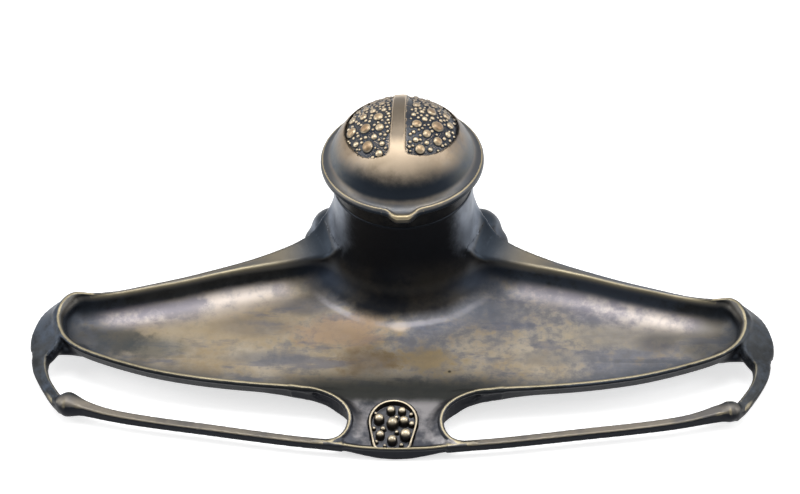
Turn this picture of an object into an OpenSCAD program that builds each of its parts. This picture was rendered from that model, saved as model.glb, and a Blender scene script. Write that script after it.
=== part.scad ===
// Cast metal desk inkstand: a long pen tray with front rails, and a neck that
// holds an ink pot under a domed, hinged lid.
// The origin is on the desk under the middle of the well, +X runs along the tray
// to its right end, +Y to the back and +Z up.

/* [Lid] */
// Radius of the lid over its brim
brim_r = 35; // [34.5:0.1:35.5]
// Height of the underside of the brim above the desk
brim_z = 63; // [62.5:0.1:63.5]
// Radius of the ball that the dome is part of
dome_r = 32.3; // [31.8:0.1:32.6]
// Thickness of the lid's wall
lid_wall = 3.4; // [3.2:0.1:3.8]
// How far the thumb tab stands out past the brim
tab_reach = 3.7; // [2.5:0.1:4.2]
// How far the tab and the panels are turned from straight ahead, in degrees
lid_turn = 2.6; // [0:0.2:4]
// Half the width of the smooth band between the pebble panels
band_half = 3; // [2.6:0.1:3.4]
// Radius of the pebble panels, seen from above
panel_r = 23.8; // [23:0.1:24.2]
// Depth of the pebble panels below the dome
panel_depth = 0.9; // [0.7:0.05:1]

/* [Well] */
// Outer radius of the neck at its top
neck_r = 30; // [29.8:0.05:30.3]
// Height of the seam between neck and mouth ring
seam_z = 52; // [50:0.5:54]
// Radius at which the neck's flare meets the floor of the tray
flare_r = 43; // [41:0.5:45]
// Outer radius of the foot behind the tray
foot_r = 36; // [35:0.25:37]
// Radius of the hollow in the neck
well_bore_r = 27.2; // [27:0.05:27.4]
// Outer radius of the ink pot
pot_r = 23.8; // [23:0.05:23.9]
// Height of the ink pot's mouth above the desk
pot_top_z = 60.5; // [58:0.25:61]

/* [Tray] */
// Height of the tray's floor
floor_z = 9; // [8.5:0.1:9.5]
// Thickness of the cast wall
cast_wall = 2.6; // [2.2:0.1:3]
// Radius of the bead along the rim
bead_r = 1.4; // [1.1:0.05:1.6]

/* [Feet] */
// Thickness of the felt under the well and the lip
felt_t = 1; // [0.8:0.1:1.2]
// Thickness of the base plate
plate_t = 2; // [1.6:0.1:2.4]
// Thickness of the cork disc under the ink pot
cork_t = 1.5; // [1:0.1:2]

/* [Hinge] */
// Height of the hinge axis below the underside of the brim
hinge_drop = 2.4; // [2.35:0.05:2.6]
// Distance of the hinge axis behind the middle of the well
hinge_y = 34.2; // [33.8:0.1:34.6]
// Radius of the hinge barrels
barrel_r = 2.05; // [1.9:0.05:2.1]
// Radius of the hinge pin
pin_r = 1; // [0.9:0.05:1.1]
// Radial play of the hinge pin
pin_play = 0.05; // [0.03:0.01:0.08]

/* [Hidden] */

$fn = 96;
bronze = "#4a4438";
dark_bronze = "#2c2d30";
rubbed = "#a08d62";

hinge_z = brim_z - hinge_drop;
plate_z = felt_t;
cork_z = plate_z + plate_t;
pot_z = cork_z + cork_t;

// The rim of the tray's right half, from the middle of the front round the end to
// the middle of the back: x, y, height, width of the sloping top of the rim, and
// run of the wall from there down to the floor.
rim_half = [
    [0, -91, 16.6, 1.5, 6.5], [30, -90.8, 16.6, 1.5, 6.5], [60, -88.8, 16.8, 1.5, 6.5],
    [80, -86.5, 17, 1.5, 6.5], [100, -82.6, 17, 1.5, 6.5], [116, -77.6, 17, 1.5, 6.5],
    [130, -72, 17.1, 1.5, 6], [137.5, -68, 17.4, 1.5, 5.5], [142.5, -63.5, 17.9, 1.5, 5],
    [145.6, -58, 18.6, 1.5, 4.5], [146.6, -52.5, 19.4, 1.5, 4.2], [145.8, -47, 20.3, 1.5, 4],
    [143.4, -42.3, 21.1, 1.5, 3.8], [139.5, -39.8, 21.2, 1.5, 3.8],
    [133, -39.3, 20.6, 1.5, 3.8], [122, -37, 20.3, 1.5, 4], [108, -32.6, 20.3, 1.6, 4],
    [94, -28, 20.3, 1.8, 4], [80, -22.6, 20.4, 2.4, 4], [68, -18, 20.8, 3.8, 4.2],
    [56, -13.2, 22, 6, 4.5], [46, -9, 24, 8, 4.5], [39, -5.5, 27, 9.5, 4.5],
    [32, -1.5, 31, 10, 4.5], [16, 0, 31, 10, 4.5], [0, 0, 31, 10, 4.5]];
// Middle line of the right arm, then half width, half thickness and sideways tilt
arm_line = [
    [145, -43, 17, 4.5, 3, 40], [150.2, -48, 14.8, 6.4, 3, 40], [151.6, -54.5, 12.6, 8.2, 3, 35],
    [151.3, -60, 11.2, 8.9, 2.8, 32], [151.6, -64.2, 10.4, 8, 2.7, 30],
    [152.4, -67.2, 9.8, 5.8, 2.6, 27], [153.1, -70.2, 9.2, 4, 2.5, 24],
    [152.6, -75, 8.2, 3.1, 2.2, 15], [150.3, -80.6, 7.2, 2.6, 2.1, 10],
    [147.2, -85.8, 6.3, 2.5, 2.1, 5], [144.2, -90, 5.4, 2.5, 2.1, 0],
    [141.2, -93.4, 4.6, 2.2, 2, 0]];
// Web that rounds off the slot's end, between the tray and the arm
web_corners = [[137, -63.3, 9.6], [147, -63.2, 9.8], [150.2, -66.8, 9.5]];
web_r = 2;
// Middle line of the right rail, then half width and half height
rail_line = [
    [22, -113.6, 5.5, 1.7, 2], [41.6, -111.4, 5.6, 1.7, 2], [60, -108.6, 5.7, 1.8, 2],
    [80, -105.3, 5.8, 1.9, 2], [95, -103, 5.9, 1.9, 2], [111, -100.3, 6.1, 1.9, 2.1],
    [121, -98.1, 6.3, 2, 2.2], [128.5, -95.9, 6.6, 2.3, 2.5], [134, -94, 6.8, 3, 3.1],
    [138.6, -92.8, 7, 3.2, 3.2]];
bulb = [140, -92.4, 7];
bulb_r = 4.3;

// Smooth curve through a list of points, open or closed
function cr(a, b, c, d, t) = 0.5 * (2 * b + (c - a) * t + (2 * a - 5 * b + 4 * c - d) * t * t
    + (3 * b - 3 * c + d - a) * t * t * t);
function smooth_open(p, n) = let (m = len(p), at = function (i) p[max(0, min(m - 1, i))])
    concat([for (i = [0 : m - 2]) for (k = [0 : n - 1])
        cr(at(i - 1), p[i], p[i + 1], at(i + 2), k / n)], [p[m - 1]]);
function smooth_closed(p, n) = let (m = len(p), at = function (i) p[(i + m) % m])
    [for (i = [0 : m - 1]) for (k = [0 : n - 1])
        cr(at(i - 1), p[i], at(i + 1), at(i + 2), k / n)];
function flip(p) = [for (i = [len(p) - 1 : -1 : 0]) p[i]];
function unit(v) = v / norm(v);
function flat(p) = [p[0], p[1]];
function mirror_x(p) = [for (q = p) [for (k = [0 : len(q) - 1]) k == 0 ? -q[0] : q[k]]];

// The whole rim, anticlockwise seen from above, and its direction inwards
rim = let (h = rim_half, m = len(h))
    smooth_closed(concat(h, [for (i = [m - 2 : -1 : 1]) mirror_x([h[i]])[0]]), 3);
rim_in = let (m = len(rim)) [for (i = [0 : m - 1])
    let (t = unit(flat(rim[(i + 1) % m]) - flat(rim[(i + m - 1) % m]))) [-t[1], t[0]]];

// One contour of the tray: the rim moved inwards by a list of distances, at heights
function contour(inset, z) = [for (i = [0 : len(rim) - 1])
    [rim[i][0] + rim_in[i][0] * inset[i], rim[i][1] + rim_in[i][1] * inset[i], z[i]]];
function steady(v) = [for (p = rim) v];
function top_run(k) = [for (p = rim) p[3] + k * p[4]];
function above_rim(h) = [for (p = rim) p[2] + h];
function down_wall(k) = [for (p = rim) floor_z + (min(p[2], 20) - floor_z) * k];

// A solid through a stack of closed contours, each with the same number of points
module stack(rings) {
    n = len(rings[0]);
    m = len(rings);
    polyhedron(
        points = [for (r = rings) each r],
        faces = concat([[for (i = [0 : n - 1]) i]],
            [[for (i = [n - 1 : -1 : 0]) (m - 1) * n + i]],
            [for (k = [0 : m - 2]) for (i = [0 : n - 1]) let (j = (i + 1) % n)
                each [[k * n + i, (k + 1) * n + i, (k + 1) * n + j],
                    [k * n + i, (k + 1) * n + j, k * n + j]]]));
}

// A bar along a line of points, with a rounded section of the given half width,
// half height and tilt at each point
module bar(line, sides = 12) {
    m = len(line);
    at = [for (q = line) [q[0], q[1], q[2]]];
    rings = [for (i = [0 : m - 1])
        let (t = unit(at[min(m - 1, i + 1)] - at[max(0, i - 1)]),
            s0 = unit(cross([0, 0, 1], t)), u0 = cross(t, s0),
            a = len(line[i]) > 5 ? line[i][5] : 0,
            s = cos(a) * s0 - sin(a) * u0, u = cos(a) * u0 + sin(a) * s0)
        [for (k = [0 : sides - 1]) let (b = 360 * (k + 0.5) / sides,
            c = cos(b), d = sin(b))
            at[i] + s * line[i][3] * sign(c) * pow(abs(c), 0.75)
                + u * line[i][4] * sign(d) * pow(abs(d), 0.75)]];
    stack(rings);
}

// Everything inside the tray's outer skin, up to well above the rim
module tray_outside() {
    stack([contour(steady(8), steady(floor_z - cast_wall)),
        contour(steady(3.6), steady(floor_z - 0.7)),
        contour(steady(1.8), steady(floor_z + 0.9)),
        contour(steady(-0.4), above_rim(-2.2)),
        contour(steady(-0.93 * bead_r), above_rim(-1)),
        contour(steady(-0.93 * bead_r), steady(60))]);
}
// Section over the bead: inset from the rim's line and height over it, in bead radii
bead = [[0.64, 0.14], [0.21, 0.46], [-0.36, 0.46], [-0.86, 0.07]];
// The tray's hollow and everything over its rim
module tray_inside() {
    stack([contour(top_run(1), steady(floor_z)),
        contour(top_run(0.6), down_wall(0.12)),
        contour(top_run(0.25), down_wall(0.45)),
        contour(top_run(0), down_wall(0.97)),
        for (b = bead) contour(steady(b[0] * bead_r), above_rim(b[1] * bead_r)),
        contour(steady(-4), above_rim(-0.1)),
        contour(steady(-4), steady(61))]);
}
// Cutter that lets the tray's floor run out over the bridge
throat = [[36, -85.5], [32, -88.5], [28.5, -90.2], [24.6, -92.6], [20.8, -95.6], [18.3, -99.3],
    [17.6, -103.4], [18.8, -107.8], [21.5, -112], [23, -125]];
module throat_cut() {
    on_bridge() linear_extrude(30) polygon(concat(throat, flip(mirror_x(throat))));
}
// What belongs to the bridge: the strip in front of the tray between the slots
bridge_side = [[38, -86.5], [38, -91.6], [32, -92.6], [26.4, -95.7], [22.7, -99.8], [21.7, -104.4],
    [23, -108.6], [26.5, -111.4], [30, -111.8]];
lip_line = [[30, -113], [26, -113.9], [20, -115], [13, -116.2], [6, -116.8], [0, -116.9]];
module bridge_area() {
    half = concat(smooth_open(bridge_side, 3), lip_line);
    polygon(concat(half, flip(mirror_x(half))));
}
module tray_metal() {
    difference() {
        tray_outside();
        tray_inside();
        throat_cut();
    }
}

// The neck widens slowly down to its foot, and over the tray a trumpet comes out of it
flare_turn = [192, 348];
flare_start = 0.3;
flare_inset = 0.6;
function widen(from_r, to_r, to_z, power, start) = [for (k = [0 : 14])
    let (q = start + (1 - start) * k / 14)
        [from_r + (to_r - from_r) * pow(q, power), seam_z - (seam_z - to_z) * q]];
module neck_outside() {
    flare = widen(neck_r - flare_inset, flare_r, floor_z + 0.3, 3, flare_start);
    rotate_extrude()
        polygon(concat([[0, felt_t], [0, seam_z]], widen(neck_r, foot_r, felt_t, 2, 0)));
    rotate([0, 0, flare_turn[0]]) rotate_extrude(angle = flare_turn[1] - flare_turn[0])
        polygon(concat([[0, floor_z - cast_wall], [0, flare[0][1]]], flare,
            [[flare_r, floor_z - cast_wall]]));
}

// The long crescent pan that pens lie in, with its beaded rim
module pen_tray() {
    color(bronze) resize([0, 0, 0]) difference() {
        tray_metal();
        neck_outside();
        linear_extrude(60) bridge_area();
    }
}
module arm() {
    resize([0, 0, 0]) difference() {
        union() {
            bar(smooth_open(arm_line, 3), 14);
            hull() for (p = web_corners) translate(p) sphere(r = web_r, $fn = 20);
        }
        tray_outside();
        translate(bulb) sphere(r = bulb_r, $fn = 32);
    }
}
module right_arm() { color(dark_bronze) arm(); }
module left_arm() { color(dark_bronze) mirror([1, 0, 0]) arm(); }
module rail() {
    resize([0, 0, 0]) difference() {
        union() {
            bar(smooth_open(rail_line, 3), 12);
            translate(bulb) sphere(r = bulb_r, $fn = 32);
        }
        linear_extrude(60) bridge_area();
    }
}
module right_rail() { color(bronze) rail(); }
module left_rail() { color(bronze) mirror([1, 0, 0]) rail(); }

// Arched outline of the berry niche, and its slope down to the lip
niche_r = 10.9;
niche_x = -1.1;
niche_y = -101.2;
niche_foot = -114.4;
niche_foot_half = 8.6;
bridge_slope = 5.4;
bridge_skin = 4.6;
module niche_outline(inset = 0) {
    foot_y = niche_foot - niche_y + inset;
    translate([niche_x, niche_y]) {
        circle(r = niche_r - inset);
        polygon([[-niche_r + inset, 0], [niche_r - inset, 0],
            [niche_foot_half - inset, foot_y], [-niche_foot_half + inset, foot_y]]);
    }
}
// Places things on the bridge's face, which slopes down to the lip from the floor
module on_bridge() {
    translate([0, -86, floor_z]) rotate([bridge_slope, 0, 0]) translate([0, 86, 0]) children();
}
niche_floor = -1.6;
niche_bed = 1.4;
niche_border = 1.3;
niche_rise = 1;
side_wall_top = 16.9;
lip_gap = 0.3;
pad_play = 0.1;
// Pad that the lip stands on, let into its underside
module lip_pad(play = 0) {
    translate([0, -114.4, felt_t / 2])
        cube([7 + 2 * play, 2 + 2 * play, felt_t + 0.01 * sign(play)], center = true);
}
// The short waist that carries the rails, with a lip that reaches the desk
module front_bridge() {
    // lower edge of the lip's wall, from beside the rail to the middle
    half_apron = [[31, 3.7], [24, 3.3], [18, 2.9], [14, 2.2], [10, 1.3], [7.5, 0.8],
        [5, 0.5], [2.5, lip_gap]];
    apron = concat(half_apron, flip(mirror_x(half_apron)));
    color(dark_bronze) difference() {
        translate([0, 0, lip_gap]) linear_extrude(20) bridge_area();
        // the side walls fall with the bead towards the lip
        translate([0, -92, 15.6]) rotate([21.5, 0, 0]) translate([-60, -40, 0])
            cube([120, 80, 30]);
        translate([-60, -100, side_wall_top]) cube([120, 20, 10]);
        throat_cut();
        // hollow underside behind the lip's wall, and higher beside the tray
        on_bridge() translate([-60, -113.4, -30 - bridge_skin]) cube([120, 60, 30]);
        translate([0, -80, 0]) rotate([90, 0, 0]) linear_extrude(18.6)
            for (s = [-1, 1]) polygon([[22 * s, 3], [30 * s, 8.8], [60 * s, 8.8],
                [60 * s, -5], [22 * s, -5]]);
        translate([0, -100, 0]) rotate([90, 0, 0]) linear_extrude(40)
            polygon(concat([[40, -5], [40, 3.7]], apron, [[-40, 3.7], [-40, -5]]));
        lip_pad(pad_play);
        on_bridge() translate([0, 0, niche_floor - niche_bed]) linear_extrude(20)
            niche_outline();
    }
}
// Berries, from the middle of the arch: x, y and radius
berries = [[-0.2, -1.3, 2.6], [-5.9, 1, 2.3], [4.5, 0.1, 2.2], [-1.2, 5.8, 2], [3.5, 5.6, 1.8],
    [-5.1, -7.2, 2], [4.9, -7, 2.4], [0, -9.6, 2.1], [-4.1, -3.7, 1.3], [7.8, -1.6, 1.2],
    [-7.4, 4.9, 0.9], [7.3, 3.6, 0.9], [1.4, -5.3, 0.9]];
module berry_inset() {
    niche_bottom = niche_floor - niche_bed;
    color(rubbed) on_bridge() {
        difference() {
            translate([0, 0, niche_bottom])
                linear_extrude(niche_rise - niche_bottom) niche_outline();
            translate([0, 0, niche_floor]) linear_extrude(10) niche_outline(niche_border);
        }
        for (b = berries) translate([niche_x + b[0], niche_y + b[1], niche_floor + b[2] * 0.5])
            sphere(r = b[2], $fn = 32);
    }
}

// The trumpet neck: hollow, open at the top and the bottom
plate_r = 33;
screw_r = 1.2;
screw_l = 7;
screw_ring_r = 30.2;
screw_play = 0.05;
module well_neck() {
    color(dark_bronze) difference() {
        neck_outside();
        translate([0, 0, -1]) cylinder(r = well_bore_r, h = 90);
        translate([0, 0, -1]) cylinder(r = plate_r, h = 1 + plate_z + plate_t);
        plate_screw_places() cylinder(r = screw_r + screw_play, h = screw_l + 0.4);
    }
}
module plate_screw_places() {
    for (a = [90, 210, 330]) rotate([0, 0, a]) translate([screw_ring_r, 0, plate_z]) children();
}

// Two overlapping bulges behind each shoulder: middle x, y, z and radius
scroll_balls = [[32.3, 11, 12.8, 10], [37, 6, 9.8, 8.2]];
module scroll() {
    resize([0, 0, 0]) difference() {
        for (b = scroll_balls) translate([b[0], b[1], b[2]]) sphere(r = b[3], $fn = 40);
        neck_outside();
        tray_outside();
        translate([-60, -60, felt_t - 20]) cube([120, 120, 20]);
    }
}
module right_rear_scroll() { color(dark_bronze) scroll(); }
module left_rear_scroll() { color(dark_bronze) mirror([1, 0, 0]) scroll(); }

// Collar on the neck: its spigot sits in the neck's bore, and the brim rests on it
ring_r = neck_r - 0.35;
ring_bore_r = pot_r + 0.4;
spigot_l = 6;
ring_edge = 0.6;
module mouth_ring() {
    color(dark_bronze) rotate_extrude() polygon([
        [ring_bore_r, seam_z - spigot_l], [well_bore_r, seam_z - spigot_l], [well_bore_r, seam_z],
        [ring_r, seam_z], [ring_r, brim_z - ring_edge], [ring_r - ring_edge, brim_z],
        [ring_bore_r + ring_edge, brim_z], [ring_bore_r, brim_z - ring_edge]]);
}

// Hinge at the back: two knuckles on the collar's bracket, the lid's leaf between
knuckle_l = 5;
leaf_l = 8;
knuckle_gap = 0.3;
hinge_half = leaf_l / 2 + knuckle_gap + knuckle_l;
knuckle_web = 2.4;
bracket_h = 6;
bracket_reach = 1.2;
module across_hinge(x, r, l) {
    translate([x, hinge_y, hinge_z]) rotate([0, 90, 0]) cylinder(r = r, h = l, $fn = 48);
}
module hinge_bracket() {
    inner_y = ring_r - 3;
    color(dark_bronze) difference() {
        union() {
            for (x0 = [-hinge_half, hinge_half - knuckle_l]) {
                across_hinge(x0, barrel_r, knuckle_l);
                translate([x0, inner_y, hinge_z - barrel_r])
                    cube([knuckle_l, hinge_y - inner_y, knuckle_web]);
            }
            translate([-hinge_half, inner_y, hinge_z - bracket_h])
                cube([2 * hinge_half, ring_r + bracket_reach - inner_y, bracket_h]);
        }
        translate([0, 0, -1]) cylinder(r = ring_r, h = 90);
        across_hinge(-20, pin_r, 40);
    }
}
module hinge_pin() {
    color(rubbed) across_hinge(-hinge_half, pin_r, 2 * hinge_half);
}

screw_head_r = 2.25;
screw_head_h = 1.15;
module base_plate() {
    color(bronze) difference() {
        translate([0, 0, plate_z]) cylinder(r = plate_r - 0.2, h = plate_t);
        plate_screw_places() translate([0, 0, -1]) cylinder(r = screw_r + screw_play, h = 10);
        plate_screw_places() cylinder(r1 = screw_head_r + screw_play,
            r2 = screw_r + screw_play, h = screw_head_h + screw_play);
    }
}
module base_plate_screws() {
    color(rubbed) plate_screw_places() {
        cylinder(r = screw_r, h = screw_l);
        cylinder(r1 = screw_head_r, r2 = screw_r, h = screw_head_h);
    }
}
module felt_pads() {
    color("#2f3a2c") {
        cylinder(r = plate_r - 0.2, h = felt_t);
        lip_pad();
    }
}
module pot_cushion() {
    color("#8a6a45") translate([0, 0, cork_z]) cylinder(r = pot_r - 0.6, h = cork_t);
}

pot_wall = 2.4;
pot_floor = 3;
pot_mouth_r = 11;
pot_lip_w = 2.6;
pot_round = 4;
function pot_shoulder(r, from, to) = arc([pot_r - pot_round, pot_top_z - 2 * pot_round],
    r, from, to, 6);
module ink_pot() {
    color([0.75, 0.82, 0.8, 0.5]) rotate_extrude() polygon(concat(
        [[0, pot_z], [pot_r - 1.5, pot_z], [pot_r, pot_z + 1.5]],
        pot_shoulder(pot_round, 0, 90),
        // the lip round the mouth, from the shoulder up and over to the inside
        [for (p = [[pot_lip_w + 0.8, -pot_round], [pot_lip_w, -3.2], [pot_lip_w, -0.8],
            [pot_lip_w - 0.8, 0], [0.8, 0], [0, -0.8], [0, -pot_round - pot_wall]])
            [pot_mouth_r + p[0], pot_top_z + p[1]]],
        pot_shoulder(pot_round - pot_wall, 90, 0),
        [[pot_r - pot_wall, pot_z + pot_floor + 1], [pot_r - pot_wall - 2, pot_z + pot_floor],
            [0, pot_z + pot_floor]]));
}

// Lid: the dome is part of a ball, a hollow moulding joins it to the brim
dome_mid = brim_z - 4.5;
dome_foot = 19.5;
// hollow moulding and rounded edge: outwards from the dome's foot, and up from
// the brim's underside
cove = [[-4.4, 5.6], [-4, 4.6], [-3.3, 3.9], [-2.4, 3.5], [-1.3, 3.2]];
brim_edge = [[-0.5, 2.9], [0, 2.2], [0, 1.2], [-0.4, 0.4], [-1.1, 0]];
module lid_section() {
    polygon(concat(
        [for (a = [90 : -(90 - dome_foot) / 16 : dome_foot])
            [dome_r * cos(a), dome_mid + dome_r * sin(a)]],
        [for (p = concat(cove, brim_edge)) [brim_r + p[0], brim_z + p[1]]],
        [[dome_r - lid_wall - 1.8, brim_z]],
        [for (a = [16 : (90 - 16) / 12 : 90])
            [(dome_r - lid_wall) * cos(a), dome_mid + (dome_r - lid_wall) * sin(a)]]));
}
// One pebble panel seen from above: part of a disc that sits a little behind the
// dome's middle, cut straight along the band and in front, with rounded corners
panel_front = -19.6;
panel_mid = 1.7;
front_corner = 2.5;
back_corner = 2;
function arc(c, r, from, to, n) = [for (k = [0 : n])
    let (a = from + (to - from) * k / n) c + r * [cos(a), sin(a)]];
// The other coordinate of the middle of a corner's arc, from the disc's middle
function across_disc(r, v) = sqrt((panel_r - r) * (panel_r - r) - v * v);
inner_corner = [band_half + front_corner, panel_front + front_corner];
outer_corner = [across_disc(front_corner, inner_corner[1] - panel_mid), inner_corner[1]];
rear_corner = [band_half + back_corner,
    panel_mid + across_disc(back_corner, band_half + back_corner)];
function bearing(p) = atan2(p[1] - panel_mid, p[0]);
module panel_outline() {
    polygon(concat(arc(inner_corner, front_corner, 180, 270, 6),
        arc(outer_corner, front_corner, -90, bearing(outer_corner), 4),
        arc([0, panel_mid], panel_r, bearing(outer_corner) + 4, bearing(rear_corner) - 2, 30),
        arc(rear_corner, back_corner, bearing(rear_corner), 180, 6)));
}
panel_bed = 0.6;
module panel_skin(low, high) {
    intersection() {
        difference() {
            translate([0, 0, dome_mid]) sphere(r = dome_r - high);
            translate([0, 0, dome_mid]) sphere(r = dome_r - low);
        }
        translate([0, 0, dome_mid]) linear_extrude(60) panel_outline();
    }
}
tab_t = 3.4;
tab_drop = 0.9;
tab_half = 8.8;
tab_root = 3;
module lid_shell() {
    color(bronze) difference() {
        union() {
            rotate_extrude() lid_section();
            // thumb tab: a soft wave along the brim's front, hanging a little below it
            rotate([0, 0, lid_turn]) translate([0, 0, brim_z - tab_drop])
                linear_extrude(tab_t) polygon(concat(
                    [[tab_half, -brim_r + tab_root], [-tab_half, -brim_r + tab_root]],
                    [for (k = [-9 : 9]) [k * tab_half / 9, -brim_r + 1
                        - (tab_reach + 1) * (0.5 + 0.5 * cos(20 * k))]]));
        }
        rotate([0, 0, lid_turn]) for (s = [0, 1]) mirror([s, 0, 0])
            panel_skin(panel_depth + panel_bed, -2);
    }
}
// Pebbles: rows of large ones with small ones in the gaps, each a little out of place
function hash(i) = let (h = sin(i * 77.7) * 43.7) h - floor(h);
pebble_step = 5.1;
// True where a pebble would run past a rounded front corner, on the given side
function past(corner, p, side, r) = (p[0] - corner[0]) * side > 0 && p[1] < corner[1]
    && norm(p - corner) > front_corner - r;
function pebbles(seed) = [for (j = [-4 : 6]) for (i = [0 : 5]) for (small = [0, 1])
    let (k = seed + 37 * (j + 6) + 5 * i + 211 * small,
        x = band_half + 2.9 + pebble_step * (i + (j % 2 == 0 ? 0 : 0.5)) + 0.7 * (hash(k) - 0.5)
            + small * pebble_step / 2,
        y = pebble_step * 0.87 * j + 0.7 * (hash(k + 3) - 0.5) + small * pebble_step * 0.29,
        r = small == 1 ? 0.85 + 0.25 * hash(k + 7) : 1.5 + 0.75 * hash(k + 7))
    if (norm([x, y - panel_mid]) < panel_r - r - 0.3 && x > band_half + r + 0.2 && y > panel_front + r + 0.3
        && !past(inner_corner, [x, y], -1, r) && !past(outer_corner, [x, y], 1, r)) [x, y, r]];
module pebble_inset(seed) {
    bed = dome_r - panel_depth;
    difference() {
        union() {
            panel_skin(panel_depth + panel_bed, panel_depth);
            // each pebble is a cap that stands up from the bed by 0.7 of its radius
            for (p = pebbles(seed)) {
                high = 0.7 * p[2];
                ball = (p[2] * p[2] + high * high) / (2 * high);
                aim = [p[0], p[1], sqrt(bed * bed - p[0] * p[0] - p[1] * p[1])];
                translate([0, 0, dome_mid] + aim * (bed + high - ball) / bed)
                    sphere(r = ball, $fn = 24);
            }
        }
        translate([0, 0, dome_mid]) sphere(r = bed - panel_bed);
    }
}
module right_pebble_inset() { color(rubbed) rotate([0, 0, lid_turn]) pebble_inset(11); }
module left_pebble_inset() {
    color(rubbed) rotate([0, 0, lid_turn]) mirror([1, 0, 0]) pebble_inset(503);
}

module lid_hinge_leaf() {
    color(bronze) difference() {
        union() {
            across_hinge(-leaf_l / 2, barrel_r, leaf_l);
            translate([-leaf_l / 2, hinge_y - barrel_r, hinge_z])
                cube([leaf_l, 2 * barrel_r - 1, hinge_drop]);
        }
        across_hinge(-20, pin_r + pin_play, 40);
    }
}

pen_tray();
left_arm();
right_arm();
left_rail();
right_rail();
front_bridge();
berry_inset();
well_neck();
left_rear_scroll();
right_rear_scroll();
mouth_ring();
hinge_bracket();
hinge_pin();
base_plate();
base_plate_screws();
felt_pads();
pot_cushion();
ink_pot();
lid_shell();
lid_hinge_leaf();
left_pebble_inset();
right_pebble_inset();
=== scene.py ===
"""A cast bronze desk inkstand: pen tray, front rails, and a lidded well."""
import math

import bpy
import numpy as np
from mathutils import Matrix, Vector


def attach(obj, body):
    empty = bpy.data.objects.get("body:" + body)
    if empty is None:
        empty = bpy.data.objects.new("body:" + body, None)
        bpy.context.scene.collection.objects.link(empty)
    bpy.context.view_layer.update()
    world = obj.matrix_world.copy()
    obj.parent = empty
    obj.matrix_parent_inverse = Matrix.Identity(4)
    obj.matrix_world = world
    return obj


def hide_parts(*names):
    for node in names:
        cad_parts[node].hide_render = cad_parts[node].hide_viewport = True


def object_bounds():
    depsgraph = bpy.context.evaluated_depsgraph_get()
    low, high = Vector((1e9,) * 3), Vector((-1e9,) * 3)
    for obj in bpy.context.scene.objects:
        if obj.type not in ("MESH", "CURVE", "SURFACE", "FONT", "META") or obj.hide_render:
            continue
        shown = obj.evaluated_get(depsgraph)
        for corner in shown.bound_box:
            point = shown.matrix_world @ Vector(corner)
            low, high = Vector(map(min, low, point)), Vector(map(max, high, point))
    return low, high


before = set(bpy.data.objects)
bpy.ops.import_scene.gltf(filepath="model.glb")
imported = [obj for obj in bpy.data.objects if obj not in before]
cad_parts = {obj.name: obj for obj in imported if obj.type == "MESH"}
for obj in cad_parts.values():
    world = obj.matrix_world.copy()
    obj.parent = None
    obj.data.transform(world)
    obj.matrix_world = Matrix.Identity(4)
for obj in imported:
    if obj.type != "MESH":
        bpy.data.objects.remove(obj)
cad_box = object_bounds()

# --- Camera ---------------------------------------------------------------
# A long lens looks down over the front edge, a little from the right.
focus = Vector((0, -0.043, 0.033))
swing, drop, roll = math.radians(3.95), math.radians(43.59), math.radians(-2.2)
back = Vector((math.sin(swing) * math.cos(drop), -math.cos(swing) * math.cos(drop),
               math.sin(drop)))
level = Vector((math.cos(swing), math.sin(swing), 0))
upright = back.cross(level)
right = math.cos(roll) * level + math.sin(roll) * upright
up = math.cos(roll) * upright - math.sin(roll) * level
camera = bpy.data.objects.new("camera", bpy.data.cameras.new("camera"))
bpy.context.collection.objects.link(camera)
camera.matrix_world = Matrix((right, up, back)).transposed().to_4x4()
camera.location = focus + 1.3 * back
camera.data.lens = 137.4
camera.data.shift_y = 0.043
camera.data.clip_end = 20
bpy.context.scene.camera = camera

# --- The casting ----------------------------------------------------------
# Tray, arms, rails, bridge, neck and rear scrolls were cast in one piece of
# bronze, so every joint between them is a soft fillet. Each form is written as
# a distance in millimetres, negative inside the metal, and the forms are blended.
MM = 0.001

# The right half of the rim, from the middle of the front round the end to the
# middle of the back: x, y, height, width of the top, fillet of the wall, bead radius
RIM = [
    (0, -91, 9, 1, 6, -1), (26, -91, 9, 1, 6, -1),
    (35, -90.6, 13.5, 1, 6, 0), (43, -90, 16.4, 0.8, 6, 1.15),
    (60, -88.8, 16.8, 0.8, 6, 1.15), (80, -86.5, 17, 0.8, 6, 1.15),
    (100, -82.6, 17, 0.8, 6, 1.15), (116, -77.6, 17, 0.8, 6, 1.15),
    (130, -72, 17.1, 0.8, 6.3, 1.15), (137.5, -68, 17.4, 0.8, 6.6, 1.15),
    (142.5, -63.5, 17.9, 0.8, 7, 1.15), (145.6, -58, 18.6, 0.8, 7, 1.15),
    (146.6, -52.5, 19.4, 0.8, 7, 1.15), (145.8, -47, 20.3, 0.8, 7.5, 1.15),
    (143.4, -42.3, 21.1, 0.8, 8, 1.1), (139.5, -39.8, 21.2, 0.9, 8, 0.9),
    (133, -39.3, 20.6, 1.1, 8.5, 0.5), (122, -37, 20.3, 1.4, 9, 0),
    (108, -32.6, 20.3, 1.8, 9, -1), (94, -28, 20.3, 2.3, 9.5, -1),
    (80, -22.6, 20.4, 3, 9.5, -1), (68, -18, 20.8, 4.4, 9.5, -1),
    (56, -13.2, 22, 6.6, 10, -1), (46, -9, 24, 8.6, 10, -1),
    (39, -5.5, 27, 10, 10, -1), (32, -1.5, 31, 10.5, 10, -1),
    (16, 0, 31, 10.5, 10, -1), (0, 0, 31, 10.5, 10, -1)]
FLOOR, UNDER = 9.0, 6.4
# The bead leaves the rim and runs down the side of the bridge: x, y, height
CURL = [(44, -90, 16.5), (38, -90.4, 16.3), (33, -91.1, 15.9), (27, -93.2, 15),
        (22.4, -96.2, 13.8), (19.8, -99.7, 12.4), (19, -103.4, 10.9), (20, -107.4, 9.2),
        (22.8, -110.8, 8), (27, -112.8, 7.4)]
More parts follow.
